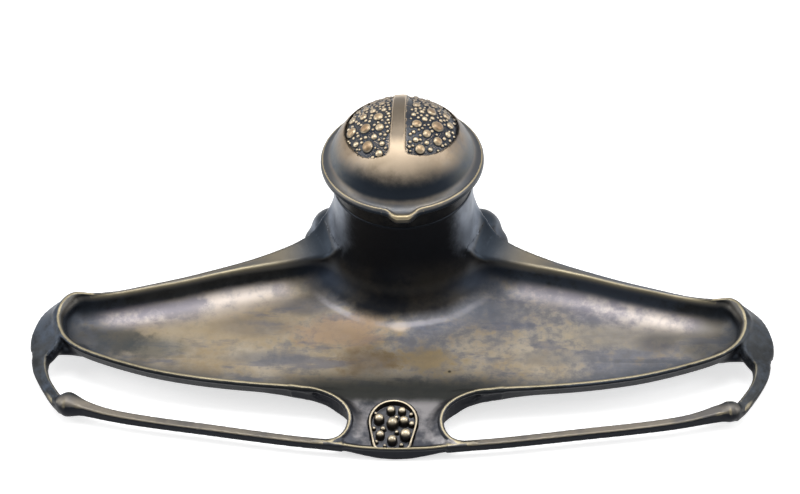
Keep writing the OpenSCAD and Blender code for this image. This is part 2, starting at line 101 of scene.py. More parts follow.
# The front edge of the bridge, from its meeting with the rail to the middle
LIP = [(34, -112.4, 7), (26.5, -113.8, 6.8), (20, -115, 6.6), (13, -116.1, 6.6), (0, -116.7, 6.6)]
# The lower edge of the lip, and of the side walls next to the slots: x, height
APRON = [(0, 0.3), (2.5, 0.35), (5, 0.5), (7.5, 0.8), (10, 1.3), (14, 2.2), (18, 2.9), (24, 3.3),
         (31, 3.7)]
SKIRT = [(20, 4.5), (26, 5.6), (32, 7.1), (36, 8.4), (40, 9.3), (44, 9.8)]
# Middle line of the arm: x, y, height, half width, half thickness, tilt
ARM = [
    (141, -39.5, 17.5, 2, 2.2, 40), (145, -43, 16.6, 4.5, 2.6, 40),
    (150, -48, 14.6, 6.3, 2.7, 40), (151.4, -54.5, 12.4, 8.1, 2.7, 35),
    (151.25, -60, 11, 8.55, 2.5, 32), (151.6, -64.2, 10.3, 7.5, 2.5, 30),
    (152.4, -67.2, 9.7, 5.6, 2.4, 27), (153.1, -70.2, 9.1, 4, 2.4, 24),
    (152.6, -75, 8.1, 3.1, 2.2, 15), (150.3, -80.6, 7.1, 2.6, 2.1, 10),
    (147.2, -85.8, 6.2, 2.5, 2.1, 5), (144.2, -90, 5.4, 2.5, 2.1, 0),
    (141.2, -93.4, 4.6, 2.2, 2, 0)]
# The web that rounds off the end of the slot
WEB = [(137, -63.4, 9.6), (147, -63.4, 9.8), (150.2, -66.8, 9.5)]
# Middle line of the rail: x, y, height, half width, half height
RAIL = [
    (22, -113.6, 5.5, 1.7, 2), (41.6, -111.4, 5.6, 1.7, 2), (60, -108.6, 5.7, 1.8, 2),
    (80, -105.3, 5.8, 1.9, 2), (95, -103, 5.9, 1.9, 2), (111, -100.3, 6.1, 1.9, 2.1),
    (121, -98.1, 6.3, 2, 2.2), (128.5, -95.9, 6.6, 2.3, 2.5), (134, -94, 6.8, 2.8, 2.9),
    (138.6, -92.8, 7, 3, 3)]
# The ball at the rail's end, and the two balls of a rear scroll: middle, radius
BULB, BULB_R = (140, -92.4, 7), 4.2
SCROLLS = [((32.3, 11, 12.8), 10), ((37, 6, 9.8), 8.2)]
# How steeply the bridge falls, and how far in front of the well that starts
BRIDGE_BEND, BRIDGE_DROP = math.tan(math.radians(5.4)), 88.5
# The neck's top, its radius there and how far its front flares; then its foot's
# radius, flare and lower face
NECK_TOP, NECK_R, NECK_FLARE = 52, 29.4, 13.6
FOOT_R, FOOT_FLARE, FOOT_Z = 30, 6, 1
# The bore of the well, and the recess for the base plate
WELL_R = 27.2
RECESS_R, RECESS_H = 33, 3
# The arched niche for the berries: its middle, radius, open foot and depth
NICHE_X, NICHE_Y, NICHE_R, NICHE_FOOT, NICHE_DEPTH = -1.1, -101, 10.3, -115.4, 1.7


def curve(rows, steps=3):
    """Rows on a smooth curve through the given rows."""
    rows = np.array(rows, float)
    ends = np.vstack([rows[:1], rows, rows[-1:]])
    made = []
    for a, b, c, d in zip(ends[:-3], ends[1:-2], ends[2:-1], ends[3:]):
        for t in np.arange(steps) / steps:
            made.append(0.5 * (2 * b + (c - a) * t + (2 * a - 5 * b + 4 * c - d) * t * t
                               + (3 * b - 3 * c + d - a) * t ** 3))
    return np.array(made + [rows[-1]])


def along(rows, p, axes=3):
    """Distance from each point to a line of rows, and the row met there."""
    best = np.full(len(p), np.inf)
    met = np.zeros((len(p), rows.shape[1]))
    for a, b in zip(rows[:-1], rows[1:]):
        run = (b - a)[:axes]
        t = np.clip((p[:, :axes] - a[:axes]) @ run / (run @ run), 0, 1)
        away = ((p[:, :axes] - a[:axes] - t[:, None] * run) ** 2).sum(1)
        closer = away < best
        best[closer] = away[closer]
        met[closer] = a + t[closer, None] * (b - a)
    return np.sqrt(best), met


def within(rows, p):
    """True inside the outline that the rows close with the middle plane."""
    inside = np.zeros(len(p), bool)
    for a, b in zip(rows[:-1], rows[1:]):
        if a[1] != b[1]:
            crossing = a[0] + (p[:, 1] - a[1]) * (b[0] - a[0]) / (b[1] - a[1])
            inside ^= ((a[1] > p[:, 1]) != (b[1] > p[:, 1])) & (p[:, 0] < crossing)
    return inside


def join(a, b, soft):
    """Two forms as one, with a fillet of about the given size."""
    near = np.maximum(soft - np.abs(a - b), 0)
    return np.minimum(a, b) - near * near / (4 * soft)


def meet(a, b, soft):
    """What two forms share, with its edge rounded."""
    return -join(-a, -b, soft)


def ramp(low, high, value):
    """0 below low, 1 above high, and a soft step between."""
    t = np.clip((value - low) / (high - low), 0, 1)
    return t * t * (3 - 2 * t)


def section(u, v, knots):
    """Signed distance to a section line, positive on its left."""
    best = np.full(len(u), np.inf)
    side = np.ones(len(u))
    for (ua, va), (ub, vb) in zip(knots[:-1], knots[1:]):
        du, dv = ub - ua, vb - va
        t = np.clip(((u - ua) * du + (v - va) * dv) / (du * du + dv * dv), 0, 1)
        eu, ev = u - ua - t * du, v - va - t * dv
        away = np.hypot(eu, ev)
        closer = away < best
        best = np.where(closer, away, best)
        side = np.where(closer, np.sign(du * ev - dv * eu), side)
    return best * side


def only_near(p, low, high, form, margin=12.0):
    """A form that is worked out only for the points close to its box."""
    gap = np.maximum(np.subtract(low, p), np.subtract(p, high)).max(1)
    value = np.maximum(gap, margin)
    close = gap < margin
    if close.any():
        value[close] = form(p[close])
    return value


rim_line = curve(RIM, 3)
curl_line = curve(CURL, 2)
lip_line = curve(LIP, 2)
bridge_outline = np.vstack([[(0, -84), (44, -84)], curl_line[:, :2], [(33, -112.2)],
                            lip_line[:, :2]])


def with_sides(rows):
    """Adds the sideways and upward directions of a bar's section to its rows."""
    run = np.gradient(rows[:, :3], axis=0)
    run /= np.linalg.norm(run, axis=1)[:, None]
    side = np.cross((0, 0, 1), run)
    side /= np.linalg.norm(side, axis=1)[:, None]
    rise = np.cross(run, side)
    tilt = np.radians(rows[:, 5:6]) if rows.shape[1] > 5 else np.zeros((len(rows), 1))
    return np.hstack([rows[:, :5], np.cos(tilt) * side - np.sin(tilt) * rise,
                      np.cos(tilt) * rise + np.sin(tilt) * side])


arm_rows = with_sides(curve(ARM, 5))
web_line = np.array(WEB, float)
rail_rows = with_sides(curve(RAIL, 3))


def bar(rows, p, corner):
    """A bar with a rounded rectangular section, and the point's place in it."""
    _, met = along(rows, p)
    off = p - met[:, :3]
    side = (off * met[:, 5:8]).sum(1)
    rise = (off * met[:, 8:11]).sum(1)
    run = np.sqrt(np.maximum((off * off).sum(1) - side * side - rise * rise, 0))
    run *= (met[:, :3] == rows[0, :3]).all(1) | (met[:, :3] == rows[-1, :3]).all(1)
    r = corner * met[:, 4]
    a = np.abs(side) - met[:, 3] + r
    b = np.abs(rise) - met[:, 4] + r
    face = np.hypot(np.maximum(a, 0), np.maximum(b, 0)) + np.minimum(np.maximum(a, b), 0) - r
    return np.hypot(np.maximum(face, 0), run) + np.minimum(face, 0), side, rise, run, met


def tray_form(p):
    """The pan: a floor that curves up into the walls, under a sloping rim."""
    flat, met = along(rim_line, p, 2)
    inset = np.where(within(rim_line, p), flat, -flat)
    z, (high, top, wall, bead) = p[:, 2], met[:, 2:6].T
    # next to the bridge there is no wall, and the floor runs on
    gap = 6 * (1 - ramp(9.5, 16, high))
    ridge = np.minimum(high, 20.7) - 0.5
    level = bridge_bed(p[:, 1]) + 0.05 - 0.1 * ramp(85, 89, -p[:, 1])
    # the wall leans inwards and gets thicker below its top
    thick = top + 0.12 * (ridge - z) + 0.5 * ramp(0.5, 3, ridge - z)
    inner = join(z - level, 0.99 * (inset - thick) + gap, wall)
    # the web slopes from the outer edge down to the ridge
    fall = (high - 0.4 - ridge) / top
    web = z - high + 0.4 + fall * np.clip(inset, -1, top + 1) - gap
    inner = meet(inner, web / np.hypot(1, fall), 1.7)
    # the underside comes lower next to the bridge
    deep = high - UNDER
    low = (1 - ramp(30, 60, p[:, 0])) * (met[:, 1] < -60)
    outer = section(inset, z, [
        (-0.9, high + 9), (-0.9, high - 0.06 * deep), (-0.3, high - 0.23 * deep),
        (1.2, UNDER + (0.39 - 0.32 * low) * deep), (2.6, UNDER + (0.27 - 0.25 * low) * deep),
        (4.5, UNDER + (0.125 - 0.1 * low) * deep), (8, UNDER), (300, UNDER)])
    pan = meet(inner, -outer, 1.2)
    rope = np.hypot(inset + 0.1, z - high + 0.55) - bead
    return join(pan, rope, 0.5)


def bridge_bed(y):
    """Height of the bridge's face: level with the floor, then falling to the lip."""
    fall = -y - BRIDGE_DROP
    return FLOOR - 0.05 - BRIDGE_BEND * 0.5 * (fall + np.sqrt(fall * fall + 9))


def bridge_form(p):
    """The waist in front: a channel between two beads that ends in a lip."""
    plan, _ = along(bridge_outline, p, 2)
    plan = np.where(within(bridge_outline, p), -plan, plan)
    to_curl, curl = along(curl_line, p, 2)
    to_lip, lip = along(lip_line, p, 2)
    z = p[:, 2]
    bed = bridge_bed(p[:, 1])
    channel = bed + (curl[:, 2] - bed - 0.6) * (1 - ramp(0, 7.5, to_curl)) ** 1.6
    top = (z - channel) * 0.8
    # the underside is hollow behind the lip, and rises next to the slots
    hollow = np.where(p[:, 1] < -113, np.interp(p[:, 0], *zip(*APRON)), bed - 4.2)
    skirt = np.interp(p[:, 0], *zip(*SKIRT))
    hollow = hollow + (skirt - hollow) * ramp(22, 30, p[:, 0]) * ramp(-104, -97, p[:, 1])
    plate = meet(meet(top, plan + 0.2, 1.0), (hollow - z) * 0.9, 0.8)
    rope = np.hypot(to_curl, z - curl[:, 2] + 0.55) - 1.15
    inward = np.where(plan < 0, to_lip, -to_lip)
    edge = np.hypot(inward - 0.75, z - lip[:, 2] + 0.1) - 0.8
    return join(join(plate, rope, 0.6), edge, 0.7)


def neck_form(p):
    """The trumpet neck over its foot, turned about the upright axis."""
    x, y, z = p.T
    out = np.hypot(x, y)
    q = np.clip((NECK_TOP - z) / (NECK_TOP - FOOT_Z), 0, 1)
    foot = meet(0.97 * (out - FOOT_R - FOOT_FLARE * q ** 2), FOOT_Z - z, 0.5)
    # only the front flares out into the tray's floor
    q = np.clip((NECK_TOP - z) / 42.7, 0, 1.06)
    front = ramp(-0.25, 0.5, -y / np.maximum(out, 1))
    flare = 0.72 * (out - NECK_R - NECK_FLARE * front * q ** 3)
    flare = meet(flare, UNDER - z, 0.5)
    return meet(join(foot, flare, 1), z - NECK_TOP, 0.7)


def arm_form(p):
    """The arm: a tilted strap with a bead along its edge, and a web at the slot."""
    strap, side, rise, run, met = bar(arm_rows, p, 0.75)
    rope = np.hypot(np.hypot(side + met[:, 3] - 0.7, rise - met[:, 4] + 0.5), run)
    rope += 0.8 * ramp(-70, -64, p[:, 1]) - 0.75
    web, _ = along(web_line, p)
    return join(join(strap, rope, 0.5), web - 2, 3)


def rail_form(p):
    """The slender bar in front of the slot."""
    return bar(rail_rows, p, 0.36)[0]


def casting_form(p):
    """All of the casting; the two sides mirror each other but for the drops."""
    left, cut = p[:, 0] < 0, niche(p, 0.15)
    p = np.column_stack([np.abs(p[:, 0]), p[:, 1:]])
    out = np.hypot(p[:, 0], p[:, 1])
    body = join(tray_form(p), neck_form(p), 9)
    # where bridge and floor run level they only touch, so no ridge stands there
    body = join(body, only_near(p, (0, -117, 0), (46, -84, 18), bridge_form),
                0.15 + 1.45 * ramp(20, 30, p[:, 0]))
    for centre, radius in SCROLLS:
        ball = np.linalg.norm(p - centre, axis=1) - radius
        body = join(body, meet(ball, 1 - p[:, 2], 0.4), 1.4)
    body = join(body, only_near(p, (137, -95, 2), (160, -38, 22), arm_form), 3)
    bulb = np.linalg.norm(p - BULB, axis=1) - BULB_R
    rail = only_near(p, (20, -116, 3), (142, -90, 11), rail_form)
    rail = join(rail, bulb, np.where(left, 5.5, 2.2))
    body = join(body, rail, 1.4)
    body = meet(body, WELL_R - out, 0.4)
    body = meet(body, -meet(out - RECESS_R, p[:, 2] - RECESS_H, 0.2), 0.2)
    return meet(body, -cut, 0.5)


def casting_marks(p):
    """How far each point lies inside the rim, and from the middle of the nearest
    crest that is painted bright with wear and a highlight, in half widths of that crest."""
    p = np.column_stack([np.abs(p[:, 0]), p[:, 1:]])
    flat, met = along(rim_line, p, 2)
    inset = np.where(within(rim_line, p), flat, -flat)
    bead = np.where(met[:, 5] > 0.5, (inset + 0.1) / 0.85, 9)
    ridge = (inset - met[:, 3] + 0.3) / (1 + 1.2 * ramp(2, 5, met[:, 3]))
    ridge = np.where((met[:, 5] < 0.6) & (met[:, 1] > -50) & (met[:, 0] > 44), ridge, 9)
    curl, at = along(curl_line, p, 2)
    curl = np.where(within(bridge_outline, p), curl, -curl) / 0.7
    curl = np.where(np.abs(p[:, 2] - at[:, 2]) < 4, curl, 9)
    lip, at = along(lip_line, p, 2)
    lip = np.where(within(bridge_outline, p), lip, -lip) - 0.5
    lip = np.where(p[:, 2] > at[:, 2] - 1.2, lip, 9)
    _, side, rise, _, met = bar(rail_rows, p, 0.4)
    rail = (side + 0.7 * met[:, 3] + 0.35) / 0.6
    rail = np.where((rise > 0) & (p[:, 0] > 30) & (p[:, 0] < 128) & (side * side < 16), rail, 9)
    _, side, rise, _, met = bar(arm_rows, p, 0.75)
    arm = (side + met[:, 3] - 0.35) / 0.7
    arm = np.where((rise > 0) & (p[:, 1] < -68) & (p[:, 1] > -87) & (side * side < 25), arm, 9)
    lines = np.stack([bead, ridge, curl, lip, rail, arm])
    nearest = np.abs(lines).argmin(0)
    return {"inner": inset, "crest": lines[nearest, np.arange(len(p))]}


def niche(p, grow):
    """The arched recess for the berries, open at the top."""
    x, y = p[:, 0] - NICHE_X, p[:, 1]
    half = NICHE_R - 2.2 * ramp(0, 1, (NICHE_Y - y) / (NICHE_Y - NICHE_FOOT))
    arch = np.where(y > NICHE_Y, np.hypot(x, 0.93 * (y - NICHE_Y)) - NICHE_R, np.abs(x) - half)
    arch = meet(arch, NICHE_FOOT - y, 2.5)
    return np.maximum(arch - grow, bridge_bed(y) - NICHE_DEPTH - 1.2 - p[:, 2])


def sample(form, spots, reach):
    """A form's value, slope and bend at some points."""
    here = form(spots)
    slope = np.zeros_like(spots)
    bend = -6 * here
    for axis in range(3):
        for sign in (1, -1):
            moved = spots.copy()
            moved[:, axis] += sign * reach
            value = form(moved)
            slope[:, axis] += sign * value / (2 * reach)
            bend += value
    steep = np.maximum(np.linalg.norm(slope, axis=1), 0.2)
    return here / steep, slope / steep[:, None], bend / steep / reach ** 2, steep


def cast(name, form, low, high, step, faces, reach=0.7, marked=None):
    """Meshes the surface where a form is zero, and marks its hollows and edges: the
    box to look in, the size of a cell, the most triangles, and how far off the
    curvature is felt, all in millimetres."""
    # the form is worked out only in blocks of cells that lie near its surface
    block = 4
    cells = np.ceil((np.array(high) - low) / (step * block)).astype(int) * block
    ticks = [low[k] + step * np.arange(cells[k] + 1) for k in range(3)]
    middle = [t[block // 2::block] for t in ticks]
    rough = form(np.stack(np.meshgrid(*middle, indexing="ij"), -1).reshape(-1, 3))
    rough = rough.reshape([len(m) for m in middle])
    field = rough.repeat(block, 0).repeat(block, 1).repeat(block, 2)
    field = np.pad(field, (0, 1), mode="edge")
    wanted = np.zeros(field.shape, bool)
    for i, j, k in np.argwhere(np.abs(rough) < step * block * 1.25) * block:
        wanted[i:i + block + 1, j:j + block + 1, k:k + block + 1] = True
    at = np.argwhere(wanted)
    values = np.empty(len(at))
    for start in range(0, len(at), 200000):
        rows = at[start:start + 200000]
        values[start:start + 200000] = form(low + step * rows)
    field[wanted] = values

    # one vertex in each cell that the surface crosses, at the mean of its crossings
    solid = field < 0
    corners = [(i, j, k) for i in (0, 1) for j in (0, 1) for k in (0, 1)]

    def shifted(grid, c):
        return grid[tuple(slice(s, s + n) for s, n in zip(c, cells))]
    count = sum(shifted(solid, c).astype(int) for c in corners)
    crossed = (count > 0) & (count < 8)
    cell = np.argwhere(crossed)
    number = np.full(crossed.shape, -1)
    number[crossed] = np.arange(len(cell))
    total = np.zeros((len(cell), 3))
    hits = np.zeros(len(cell))
    for c in corners:
        for axis in range(3):
            if c[axis]:
                continue
            d = tuple(v + (k == axis) for k, v in enumerate(c))
            a, b = shifted(field, c)[crossed], shifted(field, d)[crossed]
            cut = (a < 0) != (b < 0)
            spot = np.tile(np.array(c, float), (len(cell), 1))
            spot[:, axis] += np.where(cut, a / np.where(cut, a - b, 1), 0)
            total[cut] += spot[cut]
            hits += cut
    points = low + step * (cell + total / hits[:, None])

    # one face round each grid edge that the surface cuts
    quads = []
    for axis in range(3):
        u, v = (axis + 1) % 3, (axis + 2) % 3
        a = solid
        b = np.roll(solid, -1, axis)
        edge = np.argwhere(a != b)
        edge = edge[(edge[:, axis] < cells[axis]) & (edge[:, u] > 0) & (edge[:, u] < cells[u])
                    & (edge[:, v] > 0) & (edge[:, v] < cells[v])]
        ring = []
        for du, dv in ((1, 1), (0, 1), (0, 0), (1, 0)):
            spot = edge.copy()
            spot[:, u] -= du
            spot[:, v] -= dv
            ring.append(number[tuple(spot.T)])
        ring = np.column_stack(ring)
        outward = a[tuple(edge.T)]
        quads.append(np.where(outward[:, None], ring, ring[:, ::-1]))
    quads = np.vstack(quads)
    away, normal, _, _ = sample(form, points, 0.5 * step)
    points -= normal * np.clip(away, -step, step)[:, None]

    mesh = bpy.data.meshes.new(name)
    mesh.from_pydata(points, [], quads)
    piece = bpy.data.objects.new(name, mesh)
    bpy.context.collection.objects.link(piece)
    if 2 * len(quads) > faces:
        thinner = piece.modifiers.new("thinner", "DECIMATE")
        thinner.ratio = faces / (2 * len(quads))
        shrunk = bpy.data.meshes.new_from_object(
            piece.evaluated_get(bpy.context.evaluated_depsgraph_get()))
        piece.modifiers.clear()
        piece.data = mesh = shrunk
        mesh.name = name
    spots = np.empty(3 * len(mesh.vertices))
    mesh.vertices.foreach_get("co", spots)
    spots = spots.reshape(-1, 3)

    # pull the vertices onto the surface, and read its slope and curvature there
    away, normal, _, sharp = sample(form, spots, 0.2 * step)
    spots -= normal * np.clip(away, -0.3 * step, 0.3 * step)[:, None]
    _, wide, bend, steep = sample(form, spots, reach)
    # where a form has a tiny step, its wider slope shades more smoothly
    normal = np.where((sharp > 1.12)[:, None], wide, normal)
    marks = {"worn": bend, "open": form(spots + 3 * normal) / steep / 3,
             **(marked(spots) if marked else {})}
    mesh.vertices.foreach_set("co", (spots * MM).ravel())
    for label, values in marks.items():
        mark = mesh.attributes.new(label, "FLOAT", "POINT")
        mark.data.foreach_set("value", values.astype(np.float32))
    mesh.shade_smooth()
    mesh.normals_split_custom_set_from_vertices(normal)
    mesh.update()
    print(name, len(mesh.vertices), "points", len(mesh.polygons), "faces")
    return piece


class Flow:
    """A value in a material's nodes: sums and products of it add Math nodes."""

    def __init__(self, tree, socket=None):
        self.tree, self.socket = tree, socket

    def node(self, kind, settings=None, inputs=None, output=0):
        """A new shader node with its settings and inputs, and one of its outputs."""
        made = self.tree.nodes.new("ShaderNode" + kind)
        for key, value in (settings or {}).items():
            setattr(made, key, value)
        for key, value in (inputs or {}).items():
            if isinstance(value, Flow):
                self.tree.links.new(value.socket, made.inputs[key])
            else:
                made.inputs[key].default_value = value
        return Flow(self.tree, made.outputs[output])

    def math(self, operation, *others):
        """One Math node with this value first."""
        return self.node("Math", {"operation": operation},
                         dict(enumerate((self, *others))))

    def __add__(self, other):
        return self.math("ADD", other)

    def __mul__(self, other):
        return self.math("MULTIPLY", other)

    def __sub__(self, other):
        return self.math("SUBTRACT", other)

    def __rsub__(self, other):
        return self.node("Math", {"operation": "SUBTRACT"}, {0: other, 1: self})

    __radd__, __rmul__ = __add__, __mul__

    def step(self, low, high):
        """0 below low and 1 above high, softly."""
        return self.node("MapRange", {"interpolation_type": "SMOOTHSTEP"},
                         {"Value": self, "From Min": low, "From Max": high})

    def colour(self, first, second):
        """A colour between two others, by this value."""
        return self.node("Mix", {"data_type": "RGBA"}, {"Factor": self, 6: first, 7: second},
                         output=2)


def begin(name):
    """A new material with its shader: its flow, and the shader's node."""
    material = bpy.data.materials.new(name)
    material.use_nodes = True
    return material, Flow(material.node_tree), material.node_tree.nodes["Principled BSDF"]


def feed(shader, **values):
    """Sets or links sockets of the final shader, by name with _ for a space."""
    for key, value in values.items():
        socket = shader.inputs[key.replace("_", " ")]
        if isinstance(value, Flow):
            value.tree.links.new(value.socket, socket)
        else:
            socket.default_value = value


def tone(r, g, b):
    """A linear colour from the 0 to 255 values of a paint card."""
    return tuple((v / 255 / 12.92 if v <= 10 else ((v / 255 + 0.055) / 1.055) ** 2.4)
                 for v in (r, g, b)) + (1,)


def noise(flow, place, size, detail=3, roughness=0.55):
    """Cloudy noise, 0 to 1, with features of about the given size in millimetres."""
    return flow.node("TexNoise", None, {"Vector": place, "Scale": 1000 / size,
                                        "Detail": detail, "Roughness": roughness})


def patina(name, lying, steep, gloss=0.36, lies=(0.55, 0.92)):
    """Bronze with a mottled patina: light, warm and cold tones for faces that lie
    flat, as painted light, and darker ones for steep faces, as painted shade.
    Gives what the material reads from the mesh, and the function that finishes it."""
    material, flow, shader = begin(name)
    place = flow.node("TexCoord", output=3)
    read = {label: flow.node("Attribute", {"attribute_name": label}, output=2)
            for label in ("worn", "open", "inner", "crest")}
    read["x"], read["y"], read["z"] = [
        flow.node("SeparateXYZ", None, {0: place}, output=k) * 1000 for k in range(3)]
    normal = flow.node("NewGeometry", output=1)
    read["facing"] = flow.node("SeparateXYZ", None, {0: normal}, output=2)
    read["front"] = -1 * flow.node("SeparateXYZ", None, {0: normal}, output=1)
    cloud = noise(flow, place, 70, 3, 0.55)
    patch = noise(flow, place, 24, 5, 0.62)
    grain = noise(flow, place, 4, 4, 0.65)
    dust = noise(flow, place, 1.1, 3, 0.6)
    read["grain"], read["patch"] = grain, patch

    # brown, olive and blue-grey lie in clouds over each other
    blotch = patch * 0.75 + grain * 0.25
    # one skin for faces that lie flat and a darker one for steep ones: painted light and shade
    lit_and_shaded_skins = []
    for light, warm, cold in (lying, steep):
        skin = blotch.step(0.36, 0.62).colour(tone(*warm), tone(*light))
        lit_and_shaded_skins.append((cloud * 0.7 + grain * 0.3).step(0.47, 0.62).colour(skin, tone(*cold)))
    flat = (read["facing"] + (grain - 0.5) * 0.2).step(*lies)

    def finish(wear_and_highlight, shine, hollow, flat=flat, touch=lambda skin: skin, dull=0):
        """Adds the piece's own marks, its rubbed places in the shine tones, as wear with a
        painted highlight where they face up, and black crevices, dark patina with
        painted shade, where less than the hollow span is open."""
        # faces that lie flat take the lit skin and steep ones the shaded skin: painted light and
        # shade
        skin = touch(flat.colour(lit_and_shaded_skins[1], lit_and_shaded_skins[0]))
        # rubbed places show only where they face up: wear with a painted highlight
        wear_and_highlight = wear_and_highlight * read["facing"].step(-0.2, 0.5)
        skin = wear_and_highlight.colour(skin, patch.colour(tone(*shine[0]), tone(*shine[1])))
        # near black in crevices: dark patina, and painted shade where little is open
        deep = (1 - (read["open"] + (grain - 0.5) * 0.2).step(*hollow)) * (1 - wear_and_highlight)
        skin = deep.colour(skin, tone(12, 14, 20))
        rough = gloss + 0.2 * grain - 0.08 * wear_and_highlight + 0.12 * deep + dull
        bump = flow.node("Bump", None, {"Strength": 0.22, "Distance": 0.0002,
                                        "Height": grain * 0.7 + dust * 0.35})
        feed(shader, Base_Color=skin, Metallic=0.85, Roughness=rough, Normal=bump)
        return material
    return read, finish


read, finish = patina("bronze_tray", ((170, 160, 144), (150, 134, 108), (120, 121, 128)),
                      ((62, 64, 66), (40, 42, 44), (70, 78, 90)))
# where a point lies: across and ahead of the well, and how far out from it
across = read["x"].math("ABSOLUTE")
ahead = -1 * read["y"]
out = (read["x"] * read["x"] + read["y"] * read["y"]).math("SQRT")
inside = read["inner"].step(-0.5, 1.5)
inside = inside * (1 - read["front"].step(0.1, 0.4) * ahead.step(58, 66))
low = inside * (1 - read["z"].step(11, 15))
beyond = (1 - read["inner"].step(-4, -2)) * across.step(26, 36)
# fine and broad unevenness for the edges of every mark
wobble = (read["grain"] - 0.5) * 0.7
drift = (read["patch"] - 0.5) * 2
# lines painted bright as wear and highlight: the bead, the ridge, and the edges of rails and arms
crest_wear_and_highlight = 1 - (read["crest"] + wobble).math("ABSOLUTE").step(0.25, 0.95)
crest_wear_and_highlight = crest_wear_and_highlight * (read["facing"] + wobble * 0.3).step(0.3, 0.8) * read["worn"].step(0.05, 0.25)
crest_wear_and_highlight = crest_wear_and_highlight * (1 - beyond * 0.7)
crest_wear_and_highlight = crest_wear_and_highlight * (across.step(42, 74) + ahead.step(34, 48)).math("MINIMUM", 1)
knob = (read["worn"] + wobble * 0.3).step(0.42, 0.8) * across.step(132, 136) * ahead.step(86, 90)
# the fillet between neck and web stays free of crevice black
read["open"] = read["open"] + 2 * (1 - out.step(44, 50)) * (1 - ahead.step(-6, 8))
# Patches of colour on the floor, the pale one at the neck's toe a painted highlight: x, y, half
# length, half width, strength, tone
FLOOR_PATCHES_AND_HIGHLIGHT = [
    (-27, -49, 19, 9, 0.6, (172, 146, 122)), (-90, -51, 34, 9, 0.4, (168, 152, 124)),
    (88, -50, 34, 8, 0.4, (176, 164, 140)), (12, -66, 20, 9, 0.8, (138, 120, 86)),
    (-12, -68, 14, 8, 0.55, (78, 62, 50)), (-118, -40, 16, 7, 0.5, (108, 106, 130)),
    (111, -54, 9, 6, 0.7, (90, 88, 90)), (-105, -60, 15, 7, 0.65, (84, 88, 88)),
    (-123, -56, 13, 9, 0.75, (56, 64, 70)), (-63, -47, 17, 6, 0.5, (118, 112, 108)),
    (121, -47, 15, 8, 0.7, (112, 110, 106)), (127, -58, 9, 6, 0.6, (70, 72, 74)),
    (-40, -34, 15, 6, 0.6, (90, 94, 106)), (34, -36, 12, 7, 0.6, (88, 94, 106)),
    (-56, -66, 18, 4.5, 0.6, (108, 108, 112)), (64, -64, 16, 5, 0.45, (116, 116, 118)),
    # the pale oval at the neck's toe is a painted highlight
    (-0.3, -47.2, 4.6, 2.4, 0.8, (206, 190, 174)), (21.6, -72.9, 0.8, 0.8, 0.9, (40, 36, 30))]


def spot(x, y, long, wide):
    """1 inside an oval with a soft and uneven edge."""
    u, v = (read["x"] - x) * (1 / long), (read["y"] - y) * (1 / wide)
    ragged = (drift * 0.9 + wobble * 2.2) * min(1, wide / 9)
    return 1 - ((u * u + v * v).math("SQRT") + ragged).step(0.4, 1.35)


def paint_floor(skin):
    """Blue-grey streaks and brown patches, with painted shade towards the front and the ends, and
    painted reflections.
    """
    drawn = read["x"].node("CombineXYZ", None, {
        0: read["x"] * 0.0003, 1: read["y"] * 0.001, 2: read["z"] * 0.001})
    streaks = noise(read["x"], drawn, 8, 5, 0.65)
    skin = (streaks.step(0.5, 0.64) * low * 0.6).colour(skin, tone(92, 98, 116))
    skin = (read["grain"].step(0.44, 0.64) * low * 0.3).colour(skin, tone(112, 106, 98))
    for x, y, long, wide, strength, shade in FLOOR_PATCHES_AND_HIGHLIGHT:
        skin = (spot(x, y, long, wide) * low * strength).colour(skin, tone(*shade))
    # painted shade on the floor along the front wall and at the ends
    painted_wall_shade = (1 - (read["inner"] + drift * 3).step(5, 17)) * ahead.step(55, 68)
    painted_wall_shade = (painted_wall_shade + (across + drift * 8).step(122, 143)).math("MINIMUM", 1) * inside
    skin = (painted_wall_shade * 0.8).colour(skin, tone(66, 72, 80))
    # a nearly black painted reflection where the bridge starts
    painted_throat_reflection = (1 - across.step(30, 66)) * (ahead + drift * 4 + wobble * 3).step(68, 83)
    skin = (painted_throat_reflection * 0.92).colour(skin, tone(46, 47, 44))
    # a pale painted reflection at the foot of the back wall, and grey on its top
    foot = read["facing"].step(0.4, 0.75) * (1 - (read["inner"] + drift * 4).step(7, 22))
    foot = foot * (1 - ahead.step(42, 53)) * (1 - across.step(122, 134))
    foot = foot * inside * low * (out + drift * 4).step(50, 60)
    painted_foot_reflection = (read["patch"] + wobble * 0.5).step(0.36, 0.6).colour(
        tone(214, 204, 196), tone(150, 146, 154))
    skin = (foot * 0.9).colour(skin, painted_foot_reflection)
    return (inside * read["z"].step(17, 19)).colour(skin, tone(98, 96, 92))


def paint_bridge(skin):
    """Slate grey with pale clouds and a painted highlight on the bridge, taupe on top of
    the rails, blue-black painted shade on all faces towards the front, and blue-black on the rear
    scrolls."""
    # patina clouds with a painted highlight where the bridge faces up
    pale_clouds_and_highlight = read["patch"].step(0.45, 0.62) * read["facing"].step(0.7, 0.95)
    slate = pale_clouds_and_highlight.colour(tone(62, 64, 70), tone(136, 133, 134))
    skin = ((1 - across.step(24, 36)) * (ahead + drift * 2).step(88, 94)).colour(skin, slate)
    bars = beyond * (ahead - across * 0.06).step(82, 86) * read["facing"].step(0.3, 0.75)
    skin = (bars * 0.8).colour(skin, read["patch"].step(0.4, 0.6).colour(
        tone(142, 134, 122), tone(112, 108, 104)))
    # painted shade: blue-black on the outer faces that look to the front
    outer = (read["front"] + ahead.step(58, 66)).step(0.15, 0.5) * (1 - inside)
    outer = outer * (1 - read["facing"].step(0.25, 0.6)) * (1 - read["z"].step(20, 24))
    skin = (outer * 0.96).colour(skin, tone(10, 13, 20))
    scroll = (1 - inside) * read["y"].step(-8, 0) * (1 - read["z"].step(23, 27))
    return (scroll * 0.85).colour(skin, tone(34, 38, 46))


